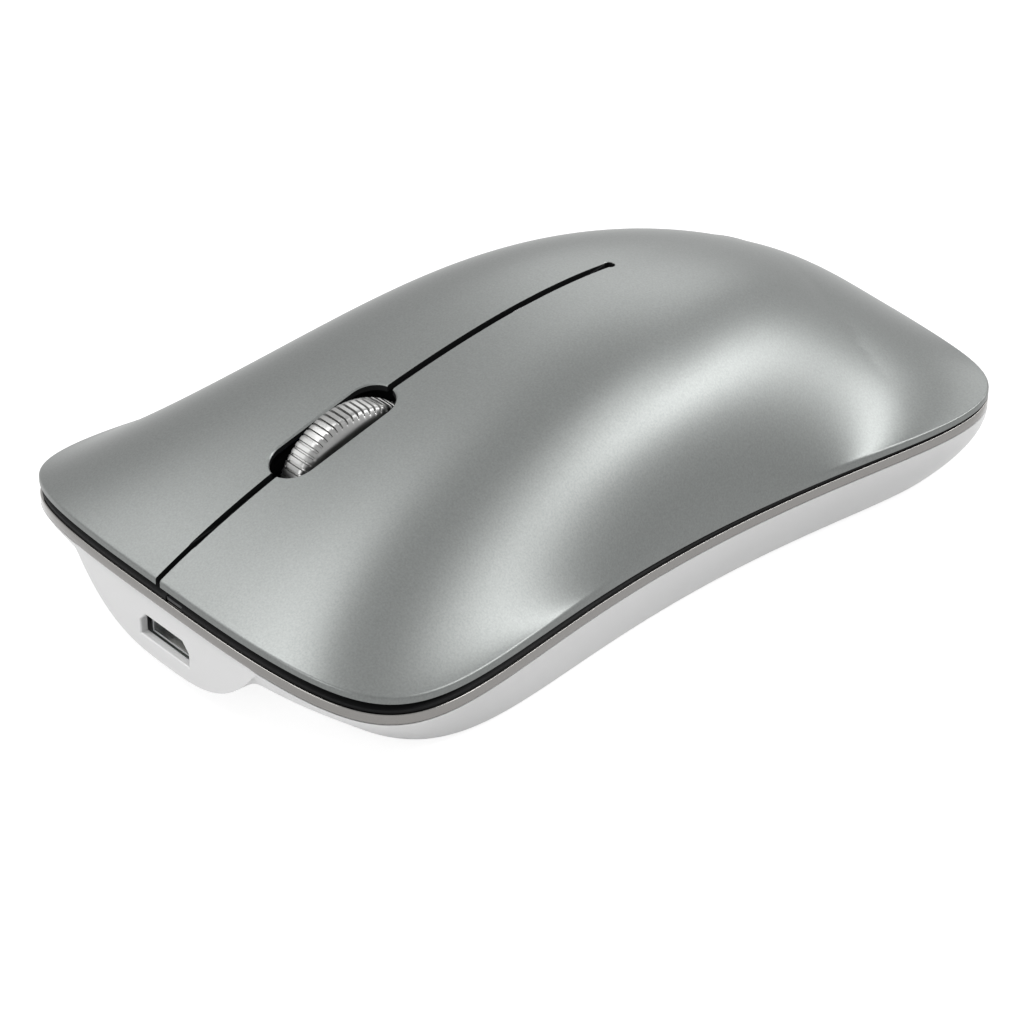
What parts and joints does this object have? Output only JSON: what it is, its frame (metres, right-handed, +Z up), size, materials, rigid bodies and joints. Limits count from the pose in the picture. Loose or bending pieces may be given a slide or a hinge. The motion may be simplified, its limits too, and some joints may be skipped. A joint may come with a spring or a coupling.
{
  "type": "computer mouse",
  "caption": "Slim wireless mouse: crowned metal top slit into two button leaves, knurled scroll wheel, black and bright edge bands, pale lower shell with a charging port.",
  "frame": {"origin": "on the ground, under the middle of the body", "axes": "+X to the right seen from behind with the hand, +Y from the front lip to the tail, +Z up"},
  "size_m": [0.0664, 0.106, 0.0293],
  "materials": {
    "cover_metal": "satin anodised",
    "black_band": "matte",
    "bright_trim": "satin chrome plating",
    "white_shell": "smooth satin",
    "slip_feet": "slick",
    "wheel_metal": "knurled and polished",
    "dark_plastic": "moulded",
    "steel": "ground",
    "encoder_blue": "moulded",
    "board": "solder mask",
    "switch_body": "moulded",
    "plunger_red": "moulded",
    "tin": "plated",
    "pale_plastic": "moulded",
    "clear_lens": "polished",
    "smoked_pipe": "smoked",
    "cell": "pouch foil",
    "wire": "insulated"
  },
  "bodies": {
    "case": {"lower_shell": "white_shell", "trim_ring": "bright_trim", "mid_frame": "black_band", "palm_cover": "cover_metal", "front_foot": "slip_feet", "rear_foot": "slip_feet", "yoke_pin": "steel", "wheel_surround": "black_band", "main_pcb": "board", "left_switch": "switch_body", "right_switch": "switch_body", "wheel_switch": "switch_body", "usb_port": "tin", "usb_tongue": "pale_plastic", "sensor_chip": "switch_body", "sensor_lens": "clear_lens", "charge_led": "pale_plastic", "light_pipe": "smoked_pipe", "battery": "cell", "battery_leads": "wire", "battery_plug": "pale_plastic", "power_switch": "tin", "case_screws": "steel", "pcb_screws": "steel"},
    "left_leaf": {"left_button": "cover_metal"},
    "right_leaf": {"right_button": "cover_metal"},
    "yoke": {"wheel_yoke": "dark_plastic", "scroll_encoder": "encoder_blue"},
    "wheel": {"wheel_rim": "wheel_metal", "wheel_hub": "dark_plastic", "wheel_axle": "steel"},
    "left_plunger": {"left_switch_plunger": "plunger_red"},
    "right_plunger": {"right_switch_plunger": "plunger_red"},
    "wheel_plunger": {"wheel_switch_plunger": "plunger_red"},
    "power_knob": {"power_slider": "dark_plastic"},
    "receiver": {"receiver_cap": "dark_plastic", "receiver_plug": "tin"}
  },
  "joints": [
    {"name": "left_button_press", "type": "hinge", "parent": "case", "child": "left_leaf", "pos_m": [-0.015, 0.012, 0.0196], "axis": [1, 0, 0], "range_deg": [0, 0.61], "stiffness_Nm_per_rad": 2.6, "springref_deg": -0.29},
    {"name": "right_button_press", "type": "hinge", "parent": "case", "child": "right_leaf", "pos_m": [0.015, 0.012, 0.0196], "axis": [1, 0, 0], "range_deg": [0, 0.61], "stiffness_Nm_per_rad": 2.6, "springref_deg": -0.29},
    {"name": "wheel_click", "type": "hinge", "parent": "case", "child": "yoke", "pos_m": [0, -0.012, 0.009], "axis": [1, 0, 0], "range_deg": [0, 2], "stiffness_Nm_per_rad": 0.32, "springref_deg": -1.15},
    {"name": "wheel_spin", "type": "hinge", "parent": "yoke", "child": "wheel", "pos_m": [0, -0.026, 0.0146], "axis": [1, 0, 0], "continuous": true},
    {"name": "left_plunger_travel", "type": "slide", "parent": "case", "child": "left_plunger", "axis": [0, 0, -1], "range_m": [0, 0.0006]},
    {"name": "right_plunger_travel", "type": "slide", "parent": "case", "child": "right_plunger", "axis": [0, 0, -1], "range_m": [0, 0.0006]},
    {"name": "wheel_plunger_travel", "type": "slide", "parent": "case", "child": "wheel_plunger", "axis": [0, 0, -1], "range_m": [0, 0.0006]},
    {"name": "power_slide", "type": "slide", "parent": "case", "child": "power_knob", "axis": [1, 0, 0], "range_m": [0, 0.0025]},
    {"name": "receiver_pull", "type": "slide", "parent": "case", "child": "receiver", "axis": [0, 0, -1], "range_m": [0, 0.01]}
  ],
  "couplings": [
    {"joint": "left_plunger_travel", "follows": "left_button_press", "m_per_rad": 0.046},
    {"joint": "right_plunger_travel", "follows": "right_button_press", "m_per_rad": 0.046},
    {"joint": "wheel_plunger_travel", "follows": "wheel_click", "m_per_rad": 0.014}
  ]
}
